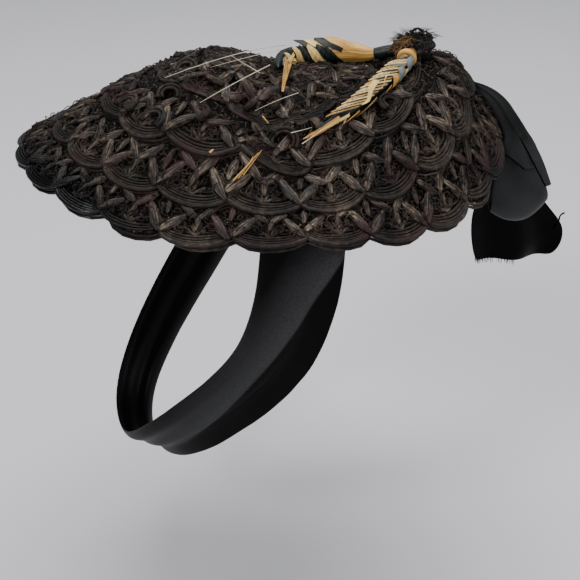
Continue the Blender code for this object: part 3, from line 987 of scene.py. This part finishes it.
def looseStraws():
    for kind, colour in (("awns", "awn"), ("straws", "gold")):
        made = []
        for *spots, thick in bristles[kind]:
            made.append(strand(inMm(spots), thick * mm, 6, (1.0, 0.8, 0.35)))
        loose = dressed(joined(made, "loose_" + kind), straws[colour])
        bpy.ops.object.shade_smooth()
        finished(loose, "loose_" + kind, "straw")


# The knot at the peak, the fray behind it, curls and stray threads

fray = {
    "seed": 11,
    "threads": 240,
    "reach": 8.4 * mm,
    "length": 4.2 * mm,
    "thickness": 0.13 * mm,
    "knotLoops": 34,
    "knotCord": 0.38 * mm,
    "knotReach": 8 * mm,
    "topLoop": (2.7 * mm, 0.55 * mm, Vector((2, 1, 7.4)) * mm),  # radius, cord and place
    "tanned": 150,
    "tannedAt": ((4.5, 2.6), (59.5, 2.2)),  # middle and spread of the browned fray, in mm
    "middle": Vector((0.3, 64.5, 9)) * mm,
    # tufts behind the knot: x, y, how many and how wide they spread
    "tufts": (
        (0.9, 77, 26, 3.0), (3.8, 81, 26, 3.0), (9, 85, 22, 3.5), (16, 84, 14, 4.0),
        (24, 79, 12, 4.0), (-6, 76, 20, 4.0),
    ),
    "rises": ("crown", "second_row", "rim_row", "peak_knot"),  # what the threads rise from
}


def threadModel():
    bend = ((0, 0, -0.1), (0.12, 0, 0.5), (0.42, 0, 0.85), (0.85, 0, 1.0))
    points = [Vector(p) * fray["length"] for p in bend]
    return strand(points, fray["thickness"], 4, (1, 0.9, 0.7, 0.3), 2)


def tuft(model, spots, chance):
    made = []
    for spot, lean in spots:
        hair = copyOf(model)
        hair.location = spot
        turn = math.atan2(lean.y, lean.x) + chance.uniform(-1.3, 1.3)
        hair.rotation_euler = (0, lean.angle(Vector((0, 0, 1))) * 0.8, turn)
        size = chance.uniform(0.45, 1.1)
        hair.scale = (size, size, size * chance.uniform(0.7, 1.1))
        made.append(freeze(hair))
    return made


def peakKnot(chance):
    core = mergedCopy("peak_knot", "peak_knot_core")
    parts = [applied(core, "SUBSURF", levels=1, render_levels=1)]
    middle = fray["middle"]
    for _ in range(fray["knotLoops"]):
        turn, out = chance.uniform(0, 6.28), fray["knotReach"] * math.sqrt(chance.random())
        x, y = middle.x + out * math.cos(turn), middle.y + out * math.sin(turn)
        spot, _ = surfaceAt(("peak_knot", "second_row"), x, y)
        radius = chance.uniform(1.1, 2.3) * mm
        parts.append(looped(radius, fray["knotCord"], spot, chance.uniform(0, 1.5), turn, 14))
    radius, cord, away = fray["topLoop"]
    parts.append(looped(radius, cord, middle + away, 1.4, 1.45, 18))
    knot = dressed(joined(parts, "peak_knot_loops"), cordCloth)
    bpy.ops.object.shade_smooth()
    return knot


def frayedThreads(chance):
    middle = fray["middle"]
    spots = []
    for _ in range(fray["threads"]):
        turn, out = chance.uniform(0, 6.28), fray["reach"] * math.sqrt(chance.random())
        x, y = middle.x + out * math.cos(turn), middle.y + out * math.sin(turn)
        spot, normal = surfaceAt(fray["rises"], x, y)
        spots.append((spot, (spot - middle).normalized() + normal))
    for x, y, count, spread in fray["tufts"]:
        for _ in range(count):
            there = [(about + chance.gauss(0, spread / 2)) * mm for about in (x, y)]
            spot, normal = surfaceAt(fray["rises"], *there)
            spots.append((spot, normal + Vector((0, 0.5, 0))))
    model = threadModel()
    threads = dressed(joined(tuft(model, spots, chance), "frayed_threads"), leafCloth)
    spots = []
    for _ in range(fray["tanned"]):
        x, y = [chance.gauss(*spread) * mm for spread in fray["tannedAt"]]
        spot, normal = surfaceAt(fray["rises"], x, y)
        spots.append((spot, normal + Vector((0.4, -0.6, 0))))
    tanned = dressed(joined(tuft(model, spots, chance), "tanned_fray"), straws["tan"])
    bpy.data.objects.remove(model)
    finished(tanned, "tanned_fray", "straw")
    return threads


curl = {
    "radius": 5.6 * mm,
    "cord": 0.8 * mm,
    "tall": 1.5,
    # x and y in mm, turn and tilt in degrees, size
    "places": (
        (18, -67, 20, 25, 1.0), (32.5, -57, 35, 30, 1.1), (44, -3, 60, 45, 1.15),
        (30, -15, -20, 40, 0.7), (28, -5, 10, 40, 0.7), (22, -48, 80, 30, 0.9),
        (8, -40, 50, 35, 0.9), (38, -38, 15, 25, 0.9), (36, 45, 120, 30, 0.9),
        (20, -28, 200, 30, 0.8), (-36, 20, 240, 30, 1.0), (-26, 50, 200, 30, 0.9),
    ),
}


def curlArc(radius):  # a ring cut open at one side, its cord pulled tall
    bpy.ops.object.select_all(action="DESELECT")
    bpy.ops.mesh.primitive_torus_add(
        major_radius=radius, minor_radius=curl["cord"], major_segments=32, minor_segments=8
    )
    edit()
    opening = (0, -0.35 * curl["radius"], 0)
    bpy.ops.mesh.bisect(plane_co=opening, plane_no=(0, -1, 0), clear_outer=True, use_fill=True)
    bpy.ops.mesh.select_all(action="SELECT")
    bpy.ops.transform.resize(value=(1, 1, curl["tall"]), center_override=(0, 0, 0))
    return done()


def curls():
    made = []
    for x, y, turn, tilt, size in curl["places"]:
        spot, _ = surfaceAt(("crown", "second_row"), x * mm, y * mm)
        for inset in (0, 2.1):
            arc = curlArc(curl["radius"] * size - inset * curl["cord"])
            arc.location = spot + Vector((0, 0, 1.6 * mm))
            arc.rotation_euler = (math.radians(tilt), 0, math.radians(turn))
            made.append(freeze(arc))
    bands = dressed(joined(made, "raised_curls"), cordCloth)
    bpy.ops.object.shade_smooth()
    finished(bands, "raised_curls", "cord")


def knotAndFray():
    chance = random.Random(fray["seed"])
    finished(peakKnot(chance), "peak_knot_loops", "braid", "peak_knot")
    finished(frayedThreads(chance), "frayed_threads", "cord")


for node in earPaths:
    wheatEar(node)
curledEnds()
looseStraws()
print("straw made")
curls()
knotAndFray()
print("knot, curls and fray made")


# Ribbons

ribbon = {
    "seed": 5,
    "levels": 2,
    "crease": 1.0 * mm,
    "creaseSize": 16 * mm,
    "wall": 0.5 * mm,
    # radius of the thin black cord that paints the shadow line along each turn's cut end
    "paintedShadowEdge": 0.22 * mm,
    "foldLength": 49 * mm,
    "foldWidth": 9.5 * mm,
    "foldCreases": ((1, 0.2), (4, -0.45), (5, 0.3), (8, -0.4), (9, 0.25)),  # line and lift in mm
    "knotTop": (12.3 * mm, 109.7 * mm, -29 * mm),  # the knot is pulled down and out from here
    "knotPull": (1, 1.3, 2),
    "frayThreads": 90,
    "cutEnd": (-97 * mm, 122 * mm),  # the frayed corners lie below this, and no further back
    "looseThread": ((7, 143.0, -86.0), (8, 144.6, -81.0), (8, 144.8, -77.2), (8, 147.0, -76.6)),
    # width and length before it was sewn on: a 36 mm ribbon for the chin, a 50 mm one for the bow
    "flat": {
        "chin_ribbon": (0.036, 0.476),
        "bow_tail": (0.050, 0.050),
        "bow_middle_loop": (0.050, 0.014),
        "bow_round_loop": (0.050, 0.0356),
        "fold": (0.050, 0.022),
    },
}
# each turn of the bow's upper fold: its path from behind the rim in mm, shares of its width
# along it, and where it is folded under, as a place in mm and the way that is turned away
turns = (
    {
        "path": (
            (6, 92, -7), (10, 97.3, -9.5), (15, 103, -15.5), (20.5, 106.7, -23), (24, 110, -32),
            (24.5, 113.8, -43.5),
        ),
        "shares": (0.35, 0.8, 1.3, 1.6, 1.9, 2.1),
        "end": ((25.9, 113.6, -42.0), (0.303, -0.637, -0.708)),
    },
    {
        "path": (
            (12, 99.7, -12), (17.5, 106, -18.3), (22, 108.8, -26.7), (25.5, 111.9, -35.3),
            (27, 115.4, -44),
        ),
        "shares": (0.3, 0.8, 1.5, 1.9, 1.9),
        "end": ((23.6, 115.6, -37.2), (0.126, -0.871, -0.475)),
    },
)


def softened(sheet, cloth):  # soft random folds, smoothed
    soft = bpy.data.textures.new("softFolds", "CLOUDS")
    soft.noise_scale = ribbon["creaseSize"]
    soft.noise_depth = 1
    folds = {"texture": soft, "texture_coords": "LOCAL", "direction": "X"}
    applied(sheet, "DISPLACE", strength=ribbon["crease"], mid_level=0.5, **folds)
    bpy.ops.object.shade_smooth()
    return dressed(sheet, cloth)


def silkOf(node, cloth):
    sheet = mergedCopy(node, node + "_silk")
    edit()
    bpy.ops.mesh.tris_convert_to_quads()
    done()
    applied(sheet, "SUBSURF", levels=ribbon["levels"], render_levels=ribbon["levels"])
    return finished(softened(sheet, cloth), node + "_silk", "ribbon", node)


def foldLayer(points, shares):  # a turn of the bow's ribbon, narrow where it leaves the rim
    bpy.ops.object.select_all(action="DESELECT")
    bpy.ops.mesh.primitive_grid_add(x_subdivisions=30, y_subdivisions=12, size=1)
    sheet = bpy.context.object
    for line, lift in ribbon["foldCreases"]:
        pick(sheet, lambda corner: round((corner.co.y + 0.5) * 12) == line)
        bpy.ops.transform.translate(value=(0, 0, lift * mm))
        done()
    edit()
    bpy.ops.transform.resize(value=(ribbon["foldLength"], ribbon["foldWidth"], 1))
    bpy.ops.transform.translate(value=(ribbon["foldLength"] / 2, 0, 0))
    bpy.ops.transform.rotate(value=math.pi / 2, orient_axis="X", center_override=(0, 0, 0))
    done()
    applied(sheet, "SOLIDIFY", thickness=ribbon["wall"])
    alongPath(sheet, pathThrough(inMm(points), shares), "POS_X")
    applied(sheet, "SUBSURF", levels=1, render_levels=1)
    return softened(sheet, satin)


def foldedUnder(sheet, place, away):  # a slanting end, edged with a thin black cord: a painted shadow line at the turn's edge
    only(sheet)
    edit()
    bpy.ops.mesh.bisect(plane_co=Vector(place) * mm, plane_no=away, clear_outer=True)
    # the cut edge becomes a thin black cord, a painted shadow line
    paintedShadowEdge = parted(sheet)
    only(sheet)
    edit()
    bpy.ops.mesh.fill_holes(sides=0)
    done()
    return [sheet, dressed(corded(paintedShadowEdge, ribbon["paintedShadowEdge"], 6), silk)]


def upperFold():  # the bow's upper turns, which lie against the rim and over the knot
    parts = []
    for turn in turns:
        parts += foldedUnder(foldLayer(turn["path"], turn["shares"]), *turn["end"])
    return finished(joined(parts, "bow_fold_silk"), "bow_fold_silk", "ribbon", "bow_top_loop")


def bowKnot():  # a turn of ribbon round the tops of the loops and the tail
    silkOf("bow_knot", satin)
    edit()
    bpy.ops.transform.resize(value=ribbon["knotPull"], center_override=ribbon["knotTop"])
    done()


def tailFray():  # the tail's cut end, where the warp has come loose
    chance = random.Random(ribbon["seed"])
    low, back = ribbon["cutEnd"]
    tail = bpy.data.objects["bow_tail_silk"].data
    corners = [v.co.copy() for v in tail.vertices if v.co.z < low and v.co.y < back]
    made = []
    for corner in chance.sample(corners, min(len(corners), ribbon["frayThreads"])):
        drop = chance.uniform(1.0, 3.2)
        sway = chance.uniform(-0.8, 0.8)
        hang = inMm(((0, 0, 0.6), (0, 0.4 * sway, -0.5 * drop), (0.2, sway, -drop)))
        made.append(strand([corner + step for step in hang], 0.14 * mm, 4, (1, 0.9, 0.5), 2))
    made.append(strand(inMm(ribbon["looseThread"]), 0.5 * mm, 4, (1, 1, 0.9, 1.2)))
    finished(dressed(joined(made, "tail_fray"), silk), "tail_fray", "ribbon")


cloths = {
    "chin_ribbon": (chinSilk, "hung"),
    "bow_tail": (silk, "hung"),
    "bow_middle_loop": (satin, "folded"),
    "bow_round_loop": (satin, "folded"),
}
for node, (cloth, held) in cloths.items():
    silkOf(node, cloth)
upperFold()
bowKnot()
tailFray()
print("ribbons made")


# Stage, lights and camera

stage = {
    "floorSize": 16,
    "floorDrop": 60 * mm,
    "floorColour": "#cccbcf",
    "skyColour": "#e6e9ee",
    "skyStrength": 0.4,
    "target": Vector((7.5, 6.3, -107.8)) * mm,
    "camera": Vector((433.9, -68.9, 142.2)) * mm,
    "focal": 62.07,
    "lights": (  # name, place, size and watts
        ("skylight", (-0.3, 0.1, 1.5), 1.3, 34),
        ("window", (0.9, -1.2, 1.1), 0.45, 20),
        ("fill", (0.8, 1.3, 0.4), 0.8, 8),
    ),
}


def floor():
    bpy.ops.object.select_all(action="DESELECT")
    below = (0, 0, cadLow.z - stage["floorDrop"])
    bpy.ops.mesh.primitive_plane_add(size=stage["floorSize"], location=below)
    ground = freeze(bpy.context.object)
    ground.name = "floor"
    material, tree, shader = newMaterial("paleStudioFloor", 0.9)
    setInputs(tree, shader, {"Base Color": linear(stage["floorColour"])})
    dressed(ground, material)


def aimed(obj):  # turned to the middle of the picture
    aim = stage["target"] - obj.location
    obj.rotation_euler = aim.to_track_quat("-Z", "Y").to_euler()


def lights():
    for name, place, size, power in stage["lights"]:
        bpy.ops.object.light_add(type="AREA", location=place)
        lamp = bpy.context.object
        lamp.name = name
        lamp.data.size = size
        lamp.data.energy = power
        aimed(lamp)
    world = bpy.context.scene.world or bpy.data.worlds.new("studio")
    bpy.context.scene.world = world
    world.use_nodes = True
    sky = {"Color": linear(stage["skyColour"]), "Strength": stage["skyStrength"]}
    setInputs(world.node_tree, world.node_tree.nodes["Background"], sky)


def camera():
    bpy.ops.object.camera_add(location=stage["camera"])
    eye = bpy.context.object
    eye.data.lens = stage["focal"]
    eye.data.clip_start = 0.01
    aimed(eye)
    bpy.context.scene.camera = eye


floor()
lights()
camera()
print("stage set")
